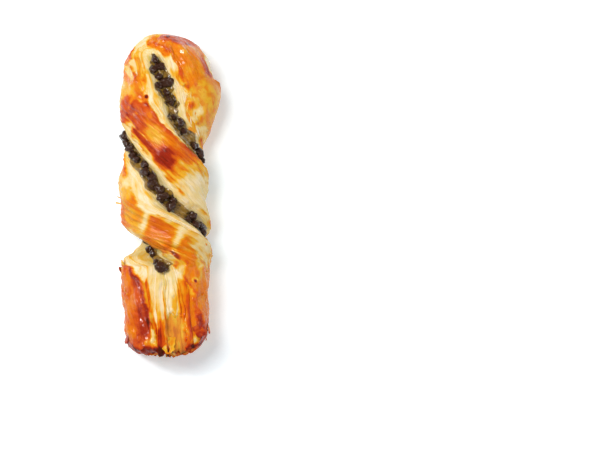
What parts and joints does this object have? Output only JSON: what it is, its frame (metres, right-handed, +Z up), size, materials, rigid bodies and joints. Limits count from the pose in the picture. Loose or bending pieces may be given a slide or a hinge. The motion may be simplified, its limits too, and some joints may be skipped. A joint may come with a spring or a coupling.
{
  "type": "chocolate plait",
  "caption": "Twisted puff pastry stick with a glazed, browned skin and spiral seams that show custard and chocolate chips; it lies flat, with one end folded and one cut.",
  "frame": {"origin": "centre of the plait's bounding box, on its flat underside", "axes": "+Y along the plait towards its folded end, +Z up from the tray, +X to the right seen from above with the folded end away"},
  "size_m": [0.0514, 0.17, 0.0382],
  "materials": {
    "pastry": "satin",
    "custard": "gloss",
    "chocolate": "satin"
  },
  "bodies": {
    "root": {"pastry_twist": "pastry", "custard_seam_a": "custard", "custard_seam_b": "custard", "chocolate_chip_01": "chocolate", "chocolate_chip_02": "chocolate", "chocolate_chip_03": "chocolate", "chocolate_chip_04": "chocolate", "chocolate_chip_05": "chocolate", "chocolate_chip_06": "chocolate", "chocolate_chip_07": "chocolate", "chocolate_chip_08": "chocolate", "chocolate_chip_09": "chocolate", "chocolate_chip_10": "chocolate", "chocolate_chip_11": "chocolate", "chocolate_chip_12": "chocolate", "chocolate_chip_13": "chocolate", "chocolate_chip_14": "chocolate", "chocolate_chip_15": "chocolate", "chocolate_chip_16": "chocolate", "chocolate_chip_17": "chocolate", "chocolate_chip_18": "chocolate", "chocolate_chip_19": "chocolate", "chocolate_chip_20": "chocolate", "chocolate_chip_21": "chocolate", "chocolate_chip_22": "chocolate", "chocolate_chip_23": "chocolate", "chocolate_chip_24": "chocolate", "chocolate_chip_25": "chocolate", "chocolate_chip_26": "chocolate", "chocolate_chip_27": "chocolate", "chocolate_chip_28": "chocolate", "chocolate_chip_29": "chocolate", "chocolate_chip_30": "chocolate", "chocolate_chip_31": "chocolate", "chocolate_chip_32": "chocolate", "chocolate_chip_33": "chocolate", "chocolate_chip_34": "chocolate", "chocolate_chip_35": "chocolate", "chocolate_chip_36": "chocolate", "chocolate_chip_37": "chocolate", "chocolate_chip_38": "chocolate", "chocolate_chip_39": "chocolate", "chocolate_chip_40": "chocolate", "chocolate_chip_41": "chocolate", "chocolate_chip_42": "chocolate", "chocolate_chip_43": "chocolate", "chocolate_chip_44": "chocolate", "chocolate_chip_45": "chocolate", "chocolate_chip_46": "chocolate", "chocolate_chip_47": "chocolate", "chocolate_chip_48": "chocolate", "chocolate_chip_49": "chocolate", "chocolate_chip_50": "chocolate", "chocolate_chip_51": "chocolate"}
  },
  "joints": []
}
